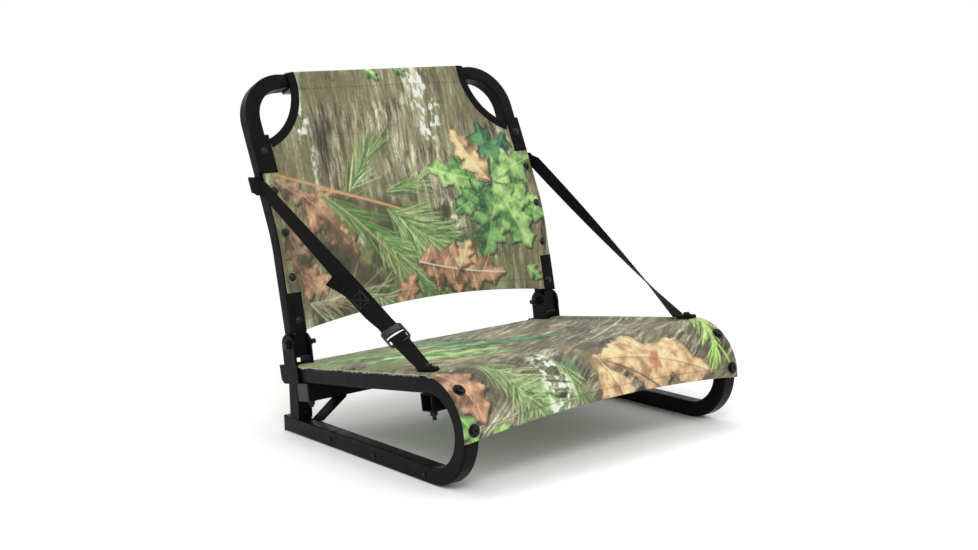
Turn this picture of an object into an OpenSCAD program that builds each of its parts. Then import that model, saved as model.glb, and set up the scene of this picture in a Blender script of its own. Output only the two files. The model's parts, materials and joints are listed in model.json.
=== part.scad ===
// Low folding ground seat: two bent square-tube side frames under a stretched
// fabric seat, with a hinged inverted-U back frame, a laced-on fabric back and
// two webbing check straps. The sitter faces -Y; their right-hand side is -X.

/* [Side frames] */
// Width across the outer faces of the two side frames
overall_w = 556; // [500:2:620]
// Size of the square tube
tube = 25.4; // [20:0.1:30]
// Wall thickness of the square tube
wall = 1.6; // [1.2:0.1:2.5]
// Outer radius of every large tube bend
bend_r = 78.4; // [60:0.2:100]
// Length of the lower rails behind the front bend
runner_l = 389; // [300:1:460]
// Length of the top rails behind the front bend
rail_l = 377; // [300:1:450]

/* [Cross members] */
// Size of the front cross beam's square tube
front_beam = 25.4; // [20:0.1:30]
// Size of the rear cross beam's square tube
rear_beam = 28.6; // [20:0.1:32]
// Front cross beam, distance behind the bend centre along the rail
front_beam_t = 4; // [0:0.5:40]
// Rear cross beam, distance behind the bend centre along the rail
rear_beam_t = 326.4; // [300:0.2:340]
// Front face of the rear posts
post_y = 345.6; // [330:0.2:360]
// Width of the flat diagonal braces
brace_w = 22; // [12:1:30]
// Thickness of the flat diagonal braces
brace_th = 5; // [3:0.5:8]

/* [Hinge] */
// Hinge pin's place along the rail direction
pin_t = 351; // [340:0.5:360]
// Hinge pin's height above the bend centre, square to the rail
pin_o = 114; // [105:0.5:125]
// Hinge bolt radius
pin_r = 4; // [3:0.5:6]
// Bracket plate thickness
plate = 4; // [2:0.5:5]
// Half width of the bracket cheeks
cheek_r = 17; // [14:0.5:20]

/* [Back frame] */
// Lean of the lower part of the back frame, in degrees
lean_low = 11.2; // [5:0.1:20]
// Hinge pin to the lean bend
low_l = 169; // [120:1:220]
// Lean bend to the outside of the top tube
high_l = 274; // [200:1:340]
// Lean bend's tangent length; its radius follows
lean_tan = 29; // [20:0.5:40]

/* [Soft parts] */
// Thickness of the stretched fabric
cloth = 2.4; // [1.5:0.1:4]
// Thickness of the padded hem along each seat rail
hem_th = 4.6; // [3:0.1:8]
// Width of the check straps
web_w = 25.4; // [20:0.1:40]
// Thickness of the check straps
web_th = 2; // [1.2:0.1:3]

/* [View] */
// One node's name, or all

/* [Hidden] */
$fn = 96;

// the tube bends meet their straights on turns whose sines are exact decimals
turn_a = atan2(7, 24);                // 16.26 degrees
turn_b = atan2(237, 3116);            // 4.35 degrees
slope = turn_a - 2 * turn_b;          // rearward fall of the top rails, 7.56 degrees
lean_more = turn_a - turn_b;          // extra lean of the upper back, 11.91 degrees
lean_r = lean_tan * 278 / 29;         // centre-line radius of the lean bend

origin_y = 215.9; // front-bend centre to the middle of the footprint
side_x = overall_w / 2 - tube / 2;    // centre of each side frame
in_x = side_x - tube / 2;             // inner face of each side frame
out_x = overall_w / 2;
in_r = bend_r - tube;
mid_r = bend_r - tube / 2;
tube_in = tube - 2 * wall;
pin_y = pin_t * cos(slope) + pin_o * sin(slope);
pin_z = bend_r - pin_t * sin(slope) + pin_o * cos(slope);
play = 0.6;                           // cheek to tube, each side
face = tube / 2;                      // front face of the back frame from its centre line
top_x = out_x - bend_r;               // start of each top corner
gap = 0.3;
loop_z = 91;                          // webbing loops' height on the upper back frame

// strap run: heel on the seat rail, top beside the upright
heel = [-262, 31, 162];
top = [-286.5, 412, 394];
lock_f = 0.160;                       // ladder lock, as a share of the run
run = top - heel;
run_d = run / norm(run);
flat_n = cross([1, 0, 0], run_d) * -1;

// ---------- helpers ----------

// whole object's frame: X from the centre line, Z from the ground
module placed() translate([0, -origin_y, 0]) children();

// sitter's right (-X) as drawn, left mirrored
module left() mirror([1, 0, 0]) children();
module both() { children(); mirror([1, 0, 0]) children(); }

// frame along the top rail: Y runs rearward down the rail, Z square to it
module on_rail() translate([0, 0, bend_r])
  rotate([-turn_a, 0, 0]) rotate([turn_b, 0, 0]) rotate([turn_b, 0, 0]) children();

// frame of the back's lower part: Z up the tube from the hinge pin
module on_back() translate([0, pin_y, pin_z]) rotate([-lean_low, 0, 0]) children();

// frame of the back's upper part: Z up the tube from the lean bend
module on_upper() on_back() translate([0, 0, low_l]) rotate([-turn_a, 0, 0]) rotate([turn_b, 0, 0]) children();

module ring2d(s = tube, w = wall) difference() {
  square(s, center = true);
  square(s - 2 * w, center = true);
}

// the part of a full turn round the lean bend's centre that joins the two straights
module lean_sector() intersection() {
  children();
  on_back() translate([-400, -60, low_l - lean_tan]) cube([800, 120, 90]);
  on_upper() translate([-400, -60, lean_tan - 90]) cube([800, 120, 90]);
}

module tube_z(l, s = tube, w = wall) linear_extrude(l) ring2d(s, w);

module tube_x(l, s, w = wall) rotate([90, 0, 90]) linear_extrude(l, center = true) ring2d(s, w);

module rod(r, l) cylinder(r = r, h = l);
module hexagon(r, l) cylinder(r = r, h = l, $fn = 6);

// ribbon lofted through stations; each has a centre, a width and a thickness direction
module ribbon(c, w, n, wid, th) {
  k = len(c);
  pts = [for (i = [0 : k - 1], q = [[-1, -1], [1, -1], [1, 1], [-1, 1]])
    c[i] + w[i] * q[0] * wid / 2 + n[i] * q[1] * th / 2];
  sides = [for (i = [0 : k - 2], j = [0 : 3], h = [0, 1])
    let (a = 4 * i + j, b = 4 * i + (j + 1) % 4)
    h == 0 ? [a, a + 4, b] : [b, a + 4, b + 4]];
  ends = [[0, 1, 2], [0, 2, 3],
    [4 * k - 2, 4 * k - 3, 4 * k - 4], [4 * k - 1, 4 * k - 2, 4 * k - 4]];
  polyhedron(points = pts, faces = concat(sides, ends));
}

// turn of the webbing about its run: flat at the heel, edge-up at the top
function turn(f) = f < lock_f ? 32 * f / lock_f
  : 32 + 58 * sin(90 * (f - lock_f) / (1 - lock_f));
function run_c(f, sag = 0) = heel + run * f - flat_n * sag * 4 * f * (1 - f);
function run_w(f) = [1, 0, 0] * cos(turn(f)) - flat_n * sin(turn(f));
function run_n(f) = cross(run_d, run_w(f));

module run_piece(f0, f1, steps, wid = web_w, th = web_th) {
  fs = [for (i = [0 : steps]) f0 + (f1 - f0) * i / steps];
  ribbon([for (f = fs) run_c(f)], [for (f = fs) run_w(f) / norm(run_w(f))],
    [for (f = fs) run_n(f) / norm(run_n(f))], wid, th);
}

// ---------- side frames ----------

module side_frame() difference() {
  translate([-side_x, 0, 0]) union() {
    translate([0, 0, tube / 2]) rotate([-90, 0, 0]) tube_z(runner_l);
    difference() {
      translate([0, 0, bend_r]) rotate([0, 90, 0]) rotate_extrude() translate([mid_r, 0]) ring2d();
      intersection() {
        translate([-50, 0, -50]) cube([100, 200, 300]);
        on_rail() translate([-50, 0, -200]) cube([100, 200, 400]);
      }
    }
    on_rail() translate([0, 0, mid_r]) rotate([-90, 0, 0]) tube_z(rail_l);
  }
  rail_bores();
}

// holes for the cross-beam bolts, the sling's screws and the runner's rivets
module rail_bores() {
  for (t = [front_beam_t, rear_beam_t]) on_rail()
    translate([-side_x, t, in_r - 2]) rod(3.3, tube + 4);
  for (a = [52, 10]) at_bend(a) translate([0, 0, in_r + tube / 2]) rod(2.6, tube);
  for (y = [17, 142, 260]) translate([-out_x - 1, y, 11]) rotate([0, 90, 0]) rod(1.6, 1.5 + wall);
}

// radial frame on the front bend, a degrees above straight ahead, Z outward
module at_bend(a) translate([-side_x, 0, bend_r]) rotate([90 - a, 0, 0]) children();

module side_frame_right() color([0.13, 0.13, 0.14]) placed() side_frame();
module side_frame_left() color([0.13, 0.13, 0.14]) placed() left() side_frame();

// ---------- posts, beams and braces ----------

module post() difference() {
  translate([-side_x, post_y + tube / 2, tube + 0.1]) tube_z(70);
  on_rail() translate([-side_x, 300, in_r - 0.1 + 50]) cube([60, 260, 100], center = true);
  translate([-side_x, post_y - 1, tube + 11]) rotate([-90, 0, 0]) rod(2.1, 6);
}

module post_right() color([0.13, 0.13, 0.14]) placed() post();
module post_left() color([0.13, 0.13, 0.14]) placed() left() post();

module cross_beam_front() color([0.12, 0.12, 0.13]) placed() difference() {
  on_rail() translate([0, front_beam_t, in_r - 0.8 - front_beam / 2])
    tube_x(overall_w - 4, front_beam);
  both() on_rail() translate([-side_x, front_beam_t, in_r - 32]) rod(3.3, 34);
}

module cross_beam_rear() color([0.12, 0.12, 0.13]) placed() difference() {
  on_rail() translate([0, rear_beam_t, in_r - 0.1 - rear_beam / 2])
    tube_x(overall_w - 1, rear_beam);
  both() on_rail() translate([-side_x, rear_beam_t, in_r - 34]) rod(3.3, 36);
}

module beam_end_plugs() color([0.2, 0.2, 0.21]) placed() both()
  on_rail() translate([0, rear_beam_t, in_r - 0.1 - rear_beam / 2]) {
    translate([-(overall_w - 1) / 2 - 0.9, 0, 0]) cube([1.6, rear_beam, rear_beam], center = true);
    translate([-(overall_w - 1) / 2 + 1.8, 0, 0])
      cube([4.4, rear_beam - 2 * wall - 0.1, rear_beam - 2 * wall - 0.1], center = true);
  }

// flat bar from the runner's top inner edge up to the rear beam
module brace() {
  y0 = rear_beam_t * cos(slope) + (in_r - 30) * sin(slope) - brace_w / 2;
  translate([0, y0 + brace_w, 0]) rotate([90, 0, 0]) linear_extrude(brace_w)
    polygon([[-in_x - 5.5, tube + 0.1], [-in_x + 1, tube + 0.1], [-in_x + 47, 57.4],
             [-in_x + 47, 60], [-in_x + 40, 60], [-in_x + 37.5, 57.4]]);
}

module brace_cut() on_rail() translate([0, rear_beam_t, in_r - rear_beam - 0.2 + 20])
  cube([overall_w, 60, 40], center = true);

module brace_right() color([0.2, 0.2, 0.21]) placed() difference() { brace(); brace_cut(); }
module brace_left() color([0.2, 0.2, 0.21]) placed() left() difference() { brace(); brace_cut(); }

module runner_end_plugs() color([0.09, 0.09, 0.09]) placed() both()
  translate([-side_x, runner_l, tube / 2]) {
    translate([0, 1, 0]) cube([tube, 1.8, tube], center = true);
    translate([0, -3.8, 0]) cube([tube_in - 0.1, 8.6, tube_in - 0.1], center = true);
  }

// ---------- hinge brackets ----------

// side plate outline along the rail: collar below, cheek round the pin above
module plate2d() difference() {
  union() {
    polygon([[331, 53.3], [341.2, 53.3], [341.2, 51.7], [374, 51.7], [381, 58.5], [382.6, 81.5], [331, 81.5]]);
    translate([pin_t - cheek_r, 75]) square([2 * cheek_r, pin_o - 75]);
    translate([pin_t, pin_o]) circle(cheek_r);
  }
  translate([pin_t, pin_o]) circle(pin_r + 0.05);
}

module hinge_bracket() on_rail() {
  for (x = [-out_x - play - plate, -in_x + play])
    translate([x, 0, 0]) rotate([90, 0, 90]) linear_extrude(plate) plate2d();
  translate([-out_x - play - 0.01, rail_l + 0.4, 58.5])
    cube([tube + 2 * play + 0.02, plate, 23]);
}

module hinge_bracket_right() color([0.16, 0.16, 0.17]) placed() hinge_bracket();
module hinge_bracket_left() color([0.16, 0.16, 0.17]) placed() left() hinge_bracket();

// ---------- fasteners ----------

module runner_screws() color([0.3, 0.3, 0.31]) placed() both()
  for (y = [17, 142, 260]) translate([-out_x - 1.3, y, 11]) rotate([0, 90, 0]) {
    rod(3.2, 1.2);
    translate([0, 0, 1.2]) rod(1.5, 1.6);
  }

module post_screws() color([0.35, 0.35, 0.36]) placed() both()
  translate([-side_x, post_y, tube + 11]) rotate([90, 0, 0]) {
    translate([0, 0, 0.1]) rod(4, 2.4);
    translate([0, 0, -4]) rod(2, 4.2);
  }

module rear_beam_bolts() color([0.2, 0.2, 0.21]) placed() both() on_rail()
  translate([-side_x, rear_beam_t, 0]) {
    translate([0, 0, in_r - rear_beam - 11]) rod(3, tube + rear_beam + 11.2);
    translate([0, 0, bend_r + 0.1]) rod(6, 1.8);
  }

module rear_beam_nuts() color([0.22, 0.22, 0.23]) placed() both() on_rail()
  translate([-side_x, rear_beam_t, in_r - rear_beam - 0.3]) mirror([0, 0, 1]) difference() {
    union() { rod(7.5, 1.4); translate([0, 0, 1.4]) hexagon(6, 5.4); }
    translate([0, 0, -1]) rod(3.05, 10);
  }

module anchor_bolts() color([0.2, 0.2, 0.21]) placed() both() on_rail()
  translate([-side_x, front_beam_t, 0]) {
    translate([0, 0, in_r - front_beam - 15]) rod(3, tube + front_beam + 25.6);
    translate([0, 0, bend_r + 10.2]) { rod(7.5, 1.2); rod(5, 4.2); }
  }

module anchor_nuts() color([0.22, 0.22, 0.23]) placed() both() on_rail()
  translate([-side_x, front_beam_t, in_r - front_beam - 1]) mirror([0, 0, 1]) difference() {
    union() { rod(7.5, 1.4); translate([0, 0, 1.4]) hexagon(6, 5.4); }
    translate([0, 0, -1]) rod(3.05, 10);
  }

module on_pin() translate([0, pin_y, pin_z]) rotate([0, 90, 0]) children();

module hinge_bolts() color([0.25, 0.25, 0.26]) placed() both() {
  translate([-out_x - play - plate - 1.8, 0, 0]) on_pin() rod(pin_r, 53);
  translate([-out_x - play - plate - 6.2, 0, 0]) on_pin() rod(6.6, 4.5);
}

module hinge_washers() color([0.3, 0.3, 0.31]) placed() both()
  for (x = [-out_x - play - plate - 1.65, -in_x + play + plate + 0.15])
    translate([x, 0, 0]) on_pin() difference() {
      rod(8.2, 1.5);
      translate([0, 0, -1]) rod(pin_r + 0.1, 4);
    }

module hinge_nuts() color([0.25, 0.25, 0.26]) placed() both()
  translate([-in_x + play + plate + 1.8, 0, 0]) on_pin() difference() {
    hexagon(7.5, 6.4);
    translate([0, 0, -1]) rod(pin_r + 0.05, 9);
  }

// ---------- seat fabric ----------

module fall2d() rotate(-turn_a) rotate(turn_b) rotate(turn_b) children();

// side outline of a layer lying o0 to o1 above the rails, back to length t1
module layer2d(o0, o1, t1, a0 = -9) {
  difference() {
    circle(o1, $fn = 180);
    circle(o0, $fn = 180);
    fall2d() translate([0, -200]) square([400, 400]);
    rotate(-a0) translate([-200, -400]) square([400, 400]);
  }
  fall2d() translate([0, o0]) square([t1, o1 - o0]);
}

module layer(o0, o1, t1, x0, x1) translate([x0, 0, bend_r]) rotate([90, 0, 90])
  linear_extrude(x1 - x0) layer2d(o0, o1, t1);

module seat_sling() color([0.36, 0.36, 0.26]) placed() difference() {
  union() {
    layer(bend_r + gap, bend_r + gap + cloth, 336 - 6, -out_x - 1.2, out_x + 1.2);
    layer(bend_r + gap, bend_r + gap + cloth, 368, -in_x + 4 + play + 1, in_x - 4 - play - 1);
    both() layer(bend_r + gap, bend_r + gap + hem_th, 336 - 6, -out_x - 1.2, -in_x + 6);
  }
  // arched front hem
  translate([0, 0, 91.5 - 2501]) rotate([90, 0, 0]) cylinder(r = 2501, h = 240, center = true, $fn = 720);
  // screw, bolt and bolt-head clearances
  both() {
    for (a = [52, 10]) at_bend(a) translate([0, 0, bend_r - 1]) rod(2.9, 12);
    on_rail() translate([-side_x, front_beam_t, bend_r - 1]) rod(3.4, 12);
    on_rail() translate([-side_x, rear_beam_t, bend_r - 1]) rod(6.8, 3.4);
  }
}

module sling_screws() color([0.12, 0.12, 0.13]) placed() both() for (a = [52, 10]) at_bend(a)
  difference() {
    union() {
      translate([0, 0, in_r + tube / 2 + 2]) rod(2.5, tube / 2 + hem_th);
      translate([0, 0, bend_r + gap + hem_th + 1.5]) rod(6, 3);
    }
    translate([0, 0, bend_r + gap + hem_th + 2.6]) hexagon(2.3, 4);
  }

module sling_washers() color([0.1, 0.1, 0.1]) placed() both() for (a = [52, 10]) at_bend(a)
  translate([0, 0, bend_r + gap + hem_th + 0.1]) difference() {
    rod(9.4, 1.3);
    translate([0, 0, -1]) rod(2.6, 4);
  }

// ---------- check straps ----------

// webbing end folded flat on the seat and clamped by the anchor bolt
module strap_tab() on_rail() difference() {
  translate([-side_x - web_w / 2, front_beam_t - 13, bend_r + gap + hem_th + 0.3])
    cube([web_w, 26, 4.6]);
  translate([-side_x, front_beam_t, bend_r]) rod(3.4, 14);
}

module strap_tab_right() color([0.07, 0.07, 0.07]) placed() strap_tab();
module strap_tab_left() color([0.07, 0.07, 0.07]) placed() left() strap_tab();

// the lower strap turns about the stitched roll at its heel
module strap_right_lower() color([0.07, 0.07, 0.07]) placed() {
  run_piece(0, lock_f - 0.0348, 8);
  translate(heel) rotate([0, 90, 0]) cylinder(r = 1.6, h = web_w, center = true);
}

module on_lock() {
  w = run_w(lock_f) / norm(run_w(lock_f));
  n = cross(run_d, w);
  translate(run_c(lock_f)) multmatrix([
    [w[0], run_d[0], -n[0], 0], [w[1], run_d[1], -n[1], 0], [w[2], run_d[2], -n[2], 0], [0, 0, 0, 1]])
    children();
}

// ladder lock: two side rails and three bars, thicker at the top bar
module ladder_lock() color([0.05, 0.05, 0.05]) placed() on_lock() {
  for (s = [-1, 1]) translate([s * (web_w / 2 + 1.9), 0, 0]) cube([3, 30, 5], center = true);
  for (y = [-13, 0.5, 12]) translate([0, y, 0]) rotate([0, 90, 0])
    cylinder(r = y > 5 ? 3.2 : 1.8, h = web_w + 4, center = true, $fn = 32);
}

module strap_right_upper() color([0.07, 0.07, 0.07]) placed() run_piece(lock_f + 0.036, 1, 28);
module strap_left() color([0.07, 0.07, 0.07]) placed() left() run_piece(0.008, 1, 32);

// sewn webbing loop round the upright, standing off on the outside
module strap_loop() on_upper() translate([0, 0, loop_z]) difference() {
  hull() {
    translate([-side_x, 0.4, 0]) cube([tube + 3.2, tube + 2.4, 26], center = true);
    translate([-out_x - 4.5, 1, 0]) cube([3, 16, 24], center = true);
  }
  translate([-side_x, 0, 0]) cube([tube + 0.6, tube + 0.4, 60], center = true);
}

module strap_loop_right() color([0.07, 0.07, 0.07]) placed() strap_loop();
module strap_loop_left() color([0.07, 0.07, 0.07]) placed() left() strap_loop();

// ---------- back frame ----------

module upright() translate([-side_x, 0, 0]) {
  on_back() {
    translate([0, 0, -20]) tube_z(20 + low_l - lean_tan);
  }
  lean_sector() on_back() translate([0, lean_r, low_l - lean_tan]) rotate([0, 90, 0])
    rotate_extrude($fn = 720) translate([lean_r, 0]) ring2d();
  on_upper() {
    translate([0, 0, lean_tan]) tube_z(high_l - bend_r - lean_tan);
    translate([0, 0, high_l - bend_r]) rotate([90, 0, 180]) translate([-mid_r, 0, 0])
      rotate_extrude(angle = 90) translate([mid_r, 0]) ring2d();
  }
}

module back_frame() color([0.13, 0.13, 0.14]) placed() difference() {
  union() {
    both() upright();
    on_upper() translate([0, 0, high_l - tube / 2]) tube_x(2 * top_x, tube);
  }
  both() {
    translate([-out_x - 1, 0, 0]) on_pin() rod(6.35, tube + 2);
    for (z = rivets_low) on_back() translate([-side_x, -face - 1, z]) rotate([-90, 0, 0]) rod(2.1, 4);
    for (z = rivets_high) on_upper() translate([-side_x, -face - 1, z]) rotate([-90, 0, 0]) rod(2.1, 4);
  }
}

rivets_low = [36, 106];
rivets_high = [5, 75, 142];

module hinge_sleeves() color([0.75, 0.75, 0.72]) placed() both()
  translate([-out_x, 0, 0]) on_pin() difference() {
    rod(6.3, tube);
    translate([0, 0, -1]) rod(pin_r + 0.05, tube + 2);
  }

module upright_plugs() color([0.09, 0.09, 0.09]) placed() both() on_back()
  translate([-side_x, 0, -20]) {
    translate([0, 0, -0.9]) cube([tube, tube, 1.6], center = true);
    translate([0, 0, 2.6]) cube([tube_in - 0.1, tube_in - 0.1, 6], center = true);
  }

// ---------- back fabric ----------

// side outline of a layer y0 to y1 in front of the back frame's centre line
module back_layer(y0, y1, top_z, x1) {
  on_back() translate([-x1, -y1, 0]) cube([2 * x1, y1 - y0, low_l - lean_tan]);
  lean_sector() on_back() translate([-x1, lean_r, low_l - lean_tan]) rotate([0, 90, 0])
    difference() {
      cylinder(r = lean_r + y1, h = 2 * x1, $fn = 720);
      translate([0, 0, -1]) cylinder(r = lean_r + y0, h = 2 * x1 + 2, $fn = 720);
    }
  on_upper() translate([-x1, -y1, lean_tan]) cube([2 * x1, y1 - y0, top_z - lean_tan]);
}

// corner cut-outs round the tube's top bends
module corner_cut(r) both() on_upper()
  translate([-out_x - 7.5, -face - 3, high_l - 17]) rotate([90, 0, 0]) cylinder(r = r, h = 40, center = true);

module hem_arch() translate([0, pin_y, 187 - 1682]) rotate([90, 0, 0])
  cylinder(r = 1682, h = 160, center = true, $fn = 720);

module back_sling() color([0.36, 0.36, 0.26]) placed() difference() {
  union() {
    back_layer(face + gap, face + gap + cloth, high_l - 4, out_x + 0.5);
    on_upper() translate([0, 0, high_l - tube / 2]) difference() {
      cube([2 * (top_x - 12), tube + 2 * (gap + cloth), tube + 2 * (gap + cloth)], center = true);
      cube([overall_w, tube + 2 * gap, tube + 2 * gap], center = true);
    }
  }
  corner_cut(102.5);
  hem_arch();
  both() {
    on_upper() translate([-side_x, -face, loop_z]) cube([tube + 6, 3.4, 31], center = true);
    for (z = rivets_low) on_back() translate([-side_x, -face - 8, z]) rotate([-90, 0, 0]) rod(2.3, 10);
    for (z = rivets_high) on_upper() translate([-side_x, -face - 8, z]) rotate([-90, 0, 0]) rod(2.3, 10);
  }
}

// black binding along each corner cut-out
module corner_bindings() color([0.06, 0.06, 0.06]) placed() intersection() {
  back_layer(face + gap + cloth + 0.1, face + gap + cloth + 1.3, high_l + 1, top_x + 60);
  difference() { corner_cut(117); corner_cut(102.7); }
  both() on_upper() translate([-top_x - 60, -60, 166]) cube([90, 120, 112]);
}

// webbing patches riveted over the sling's ends
module back_patches() color([0.06, 0.06, 0.06]) placed() both() difference() {
  union() {
    on_upper() translate([-out_x - 2, -face - gap - cloth - 1.8, 106]) cube([38, 1.6, 63]);
    on_back() translate([-out_x - 2, -face - gap - cloth - 1.8, 18]) cube([34, 1.6, 62]);
  }
  on_back() translate([-side_x, -face - 8, rivets_low[0]]) rotate([-90, 0, 0]) rod(2.3, 10);
  on_upper() translate([-side_x, -face - 8, rivets_high[2]]) rotate([-90, 0, 0]) rod(2.3, 10);
}

module rivet() {
  rotate([-90, 0, 0]) translate([0, 0, -0.3]) rod(2, 6.6);
  rotate([90, 0, 0]) intersection() {
    translate([0, 0, -5.2]) sphere(8.4);
    rod(6.6, 4);
  }
}

module back_rivets() color([0.05, 0.05, 0.05]) placed() both() {
  for (z = rivets_low) on_back() translate([-side_x, -face - gap - cloth - 2, z]) rivet();
  for (z = rivets_high) on_upper() translate([-side_x, -face - gap - cloth - 2, z]) rivet();
}

side_frame_right();
side_frame_left();
post_right();
post_left();
cross_beam_front();
cross_beam_rear();
brace_right();
brace_left();
hinge_bracket_right();
hinge_bracket_left();
runner_end_plugs();
beam_end_plugs();
runner_screws();
post_screws();
rear_beam_bolts();
rear_beam_nuts();
anchor_bolts();
anchor_nuts();
hinge_bolts();
hinge_washers();
hinge_nuts();
seat_sling();
sling_screws();
sling_washers();
strap_tab_right();
strap_tab_left();
strap_right_lower();
ladder_lock();
strap_right_upper();
strap_left();
back_frame();
hinge_sleeves();
upright_plugs();
back_sling();
corner_bindings();
back_patches();
back_rivets();
strap_loop_right();
strap_loop_left();
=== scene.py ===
import json
import math

import bpy
import numpy as np
from mathutils import Matrix, Vector


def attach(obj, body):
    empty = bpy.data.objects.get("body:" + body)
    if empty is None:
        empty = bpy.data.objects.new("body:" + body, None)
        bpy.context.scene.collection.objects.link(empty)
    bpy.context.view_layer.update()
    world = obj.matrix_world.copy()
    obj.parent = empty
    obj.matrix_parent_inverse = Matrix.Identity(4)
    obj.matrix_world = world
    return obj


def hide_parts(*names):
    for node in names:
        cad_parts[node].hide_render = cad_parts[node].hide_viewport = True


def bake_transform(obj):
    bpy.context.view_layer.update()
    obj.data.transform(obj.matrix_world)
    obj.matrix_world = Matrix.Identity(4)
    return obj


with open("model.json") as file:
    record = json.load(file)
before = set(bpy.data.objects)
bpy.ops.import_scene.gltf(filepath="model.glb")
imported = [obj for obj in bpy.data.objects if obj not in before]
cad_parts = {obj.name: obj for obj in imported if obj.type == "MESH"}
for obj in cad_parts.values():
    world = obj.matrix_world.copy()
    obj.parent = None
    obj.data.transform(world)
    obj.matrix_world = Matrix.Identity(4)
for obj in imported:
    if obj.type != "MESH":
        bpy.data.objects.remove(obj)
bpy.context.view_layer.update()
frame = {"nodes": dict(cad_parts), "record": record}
NODES = frame["nodes"]

# -------- sizes, in millimetres
# Design frame: X across, Y rearward from the front bends' centre, Z up from the ground.
ORIGIN_Y = 215.9
OUT_X = 278.0
TUBE = 25.4
SIDE_X = OUT_X - TUBE / 2
IN_X = OUT_X - TUBE
BEND_R = 78.4
MID_R = BEND_R - TUBE / 2
RUNNER_L, RAIL_L = 389.0, 377.0
TURN_A, TURN_B = math.atan2(7, 24), math.atan2(237, 3116)
SLOPE, LEAN_MORE = TURN_A - 2 * TURN_B, TURN_A - TURN_B
LEAN_LOW = math.radians(11.2)
LEAN_HIGH = LEAN_LOW + LEAN_MORE
PIN_T, PIN_O = 351.0, 114.0
LOW_L, HIGH_L, LEAN_TAN = 169.0, 274.0, 29.0
LEAN_R = LEAN_TAN * 278 / 29
FACE = TUBE / 2
WEB_W, WEB_TH = 25.4, 2.0
HEEL, TOP, LOCK_F = np.array([-262.0, 31, 162]), np.array([-286.5, 412, 394]), 0.16
LOOP_Z = 91.0
CUT_X, CUT_Z, CUT_R = 285.5, 257.0, 102.5  # corner hand holes in the back fabric
CLOTH = 2.0  # shown thickness of the fabric
CELL = 1.5  # spacing of the fabric's mesh


def row_frame(points):
    """Design-frame millimetres to the row frame's metres."""
    p = np.array(points, float).reshape(-1, 3)
    return (p - [0, ORIGIN_Y, 0]) / 1000


def rail(t, o):
    """Y, Z of a point t rearward along a top rail and o outward from the bend's centre."""
    return (t * math.cos(SLOPE) + o * math.sin(SLOPE),
            BEND_R - t * math.sin(SLOPE) + o * math.cos(SLOPE))


PIN_Y, PIN_Z = rail(PIN_T, PIN_O)
BEND_START = LOW_L - LEAN_TAN
BEND_LEN = LEAN_R * LEAN_MORE


def back(s, y):
    """Y, Z of a point s up the back frame's centre line from the pin and y behind it."""
    phi = LEAN_LOW + min(max((s - BEND_START) / BEND_LEN, 0), 1) * LEAN_MORE
    low = min(s, BEND_START)
    cy = PIN_Y + low * math.sin(LEAN_LOW) + LEAN_R * (math.cos(LEAN_LOW) - math.cos(phi))
    cz = PIN_Z + low * math.cos(LEAN_LOW) + LEAN_R * (math.sin(phi) - math.sin(LEAN_LOW))
    high = max(s - BEND_START - BEND_LEN, 0)
    return (cy + high * math.sin(phi) + y * math.cos(phi),
            cz + high * math.cos(phi) - y * math.sin(phi))


UP = BEND_START + BEND_LEN - LEAN_TAN  # s where the upper frame's own height is 0


def smooth(x):
    x = np.clip(x, 0, 1)
    return x * x * (3 - 2 * x)


def srgb(r, g, b):
    c = np.array([r, g, b], float) / 255
    return np.where(c < 0.04045, c / 12.92, ((c + 0.055) / 1.055) ** 2.4)


# -------- camera
def make_camera():
    yaw, pitch, roll = (math.radians(a) for a in (39.54, 9.575, -1.164))
    forward = Vector((math.sin(yaw) * math.cos(pitch), math.cos(yaw) * math.cos(pitch), -math.sin(pitch)))
    right = Vector((math.cos(yaw), -math.sin(yaw), 0))
    up = right.cross(forward)
    c, s = math.cos(roll), math.sin(roll)
    axes = Matrix((c * right + s * up, c * up - s * right, -forward)).transposed()
    data = bpy.data.cameras.new("camera")
    data.lens, data.sensor_width = 52.857, 36
    camera = bpy.data.objects.new("camera", data)
    bpy.context.scene.collection.objects.link(camera)
    camera.matrix_world = Matrix.Translation((-1.45193, -1.55854 - ORIGIN_Y / 1000, 0.62722)) @ axes.to_4x4()
    bpy.context.scene.camera = camera


make_camera()


# -------- node helpers
def material(name, colour, roughness, metallic=0.0, sheen=0.0):
    m = bpy.data.materials.new(name)
    m.use_nodes = True
    p = m.node_tree.nodes["Principled BSDF"]
    p.inputs["Base Color"].default_value = (*colour, 1)
    p.inputs["Roughness"].default_value = roughness
    p.inputs["Metallic"].default_value = metallic
    p.inputs["Sheen Weight"].default_value = sheen
    p.inputs["Sheen Roughness"].default_value = 0.5
    return m, m.node_tree, p


def link(tree, a, b):
    tree.links.new(a, b)


def math_node(tree, kind, a, b=None):
    n = tree.nodes.new("ShaderNodeMath")
    n.operation = kind
    for socket, value in zip(n.inputs, (a, b)):
        if value is None:
            continue
        if isinstance(value, (int, float)):
            socket.default_value = value
        else:
            link(tree, value, socket)
    return n.outputs[0]


def noise_node(tree, scale, detail=3.0, coords="Object", stretch=None):
    source = tree.nodes.new("ShaderNodeTexCoord").outputs[coords]
    if stretch:
        mapping = tree.nodes.new("ShaderNodeMapping")
        mapping.inputs["Scale"].default_value = stretch
        link(tree, source, mapping.inputs["Vector"])
        source = mapping.outputs[0]
    n = tree.nodes.new("ShaderNodeTexNoise")
    n.inputs["Scale"].default_value = scale
    n.inputs["Detail"].default_value = detail
    link(tree, source, n.inputs["Vector"])
    return n.outputs["Fac"]


def ramp(tree, value, low, high):
    """value, about 0.3 to 0.7, spread from the number or colour low to high."""
    n = tree.nodes.new("ShaderNodeValToRGB")
    pair = [(v, v, v) if isinstance(v, (int, float)) else tuple(v) for v in (low, high)]
    for element, position, colour in zip(n.color_ramp.elements, (0.32, 0.68), pair):
        element.position, element.color = position, (*colour, 1)
    link(tree, value, n.inputs["Fac"])
    return n.outputs["Color"]


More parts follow.
